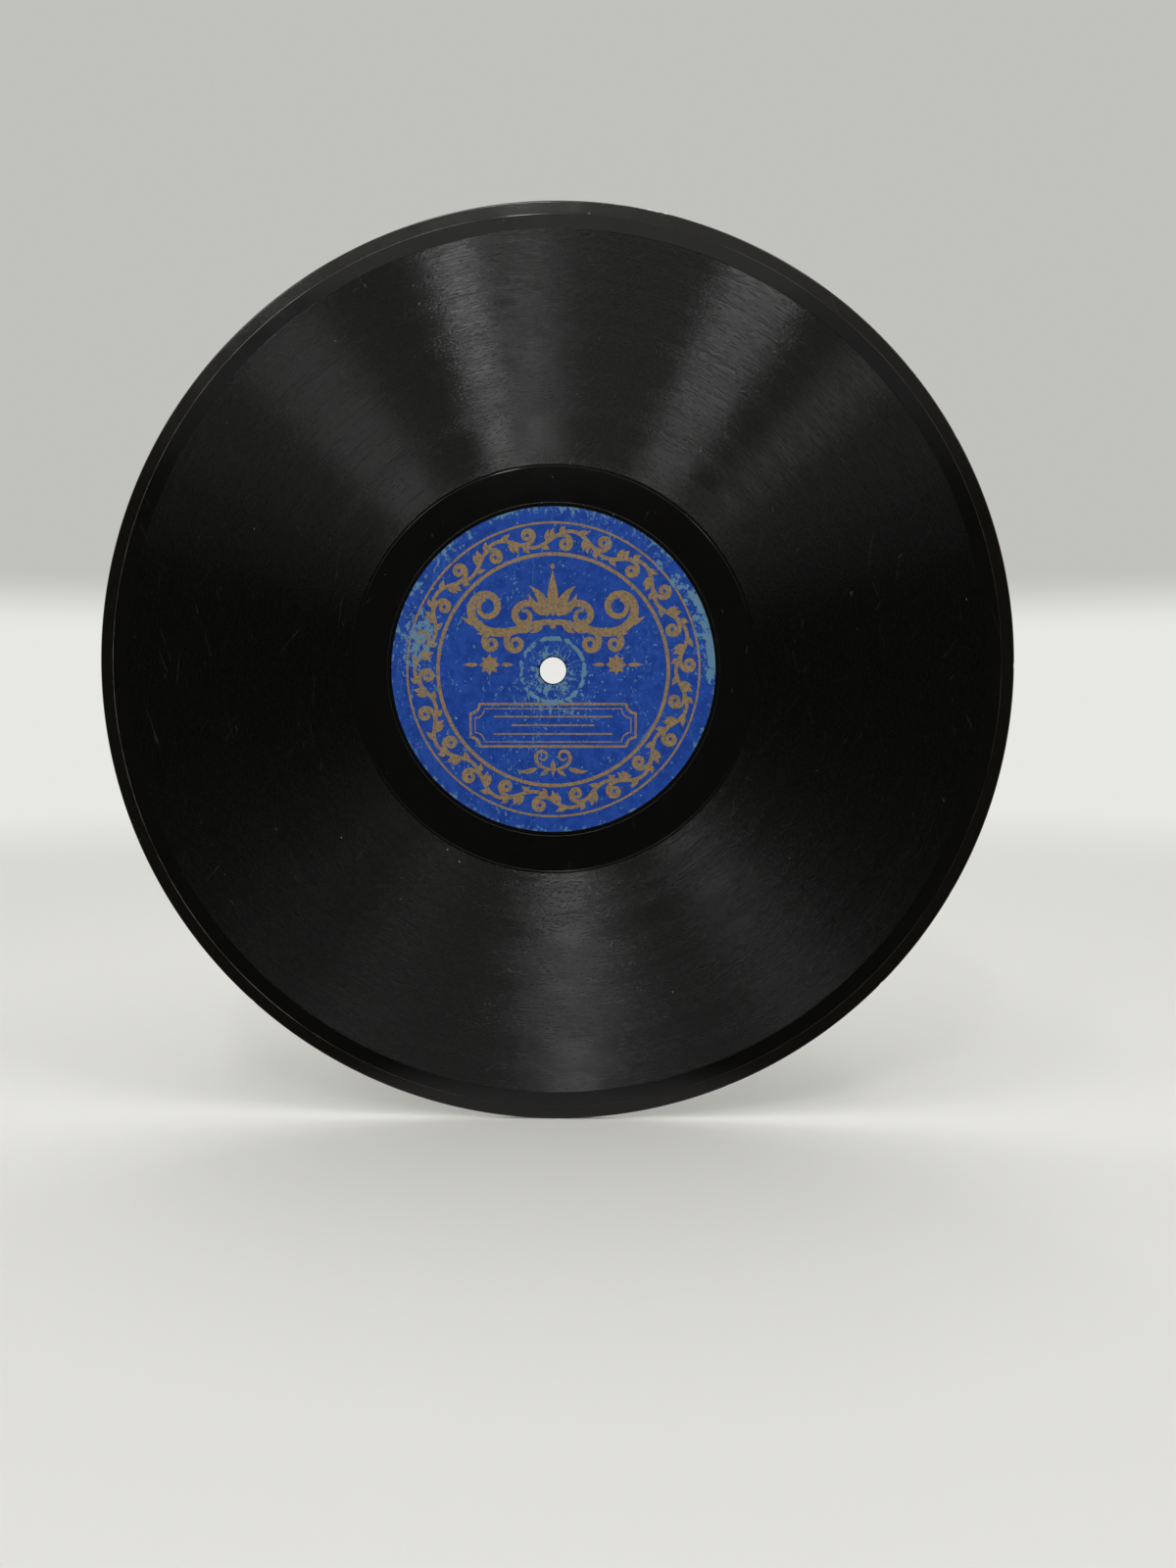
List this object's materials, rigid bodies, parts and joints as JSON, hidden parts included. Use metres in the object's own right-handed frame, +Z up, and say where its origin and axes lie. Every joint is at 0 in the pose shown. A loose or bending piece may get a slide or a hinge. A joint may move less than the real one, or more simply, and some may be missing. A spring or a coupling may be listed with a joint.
{
  "type": "shellac record",
  "caption": "Round pressed shellac disc record with a fine groove band on each face, a smooth rim and run-out, a small spindle hole and a blue paper label sunk into each side.",
  "frame": {"origin": "centre of the spindle hole, on the disc's middle plane", "axes": "+Y along the record's axis from the front face to the back face, +Z up through the top of the front label, +X to the right as the front is seen"},
  "size_m": [0.254, 0.0022, 0.254],
  "materials": {
    "shellac": "black filled shellac, glossy on the rim and run-out, streaked sheen across the grooves",
    "label_paper": "ultramarine printed paper with dull gold ornament, scuffed pale at the edge and the hole"
  },
  "bodies": {
    "root": {"disc": "shellac", "front_label": "label_paper", "back_label": "label_paper"}
  },
  "joints": []
}
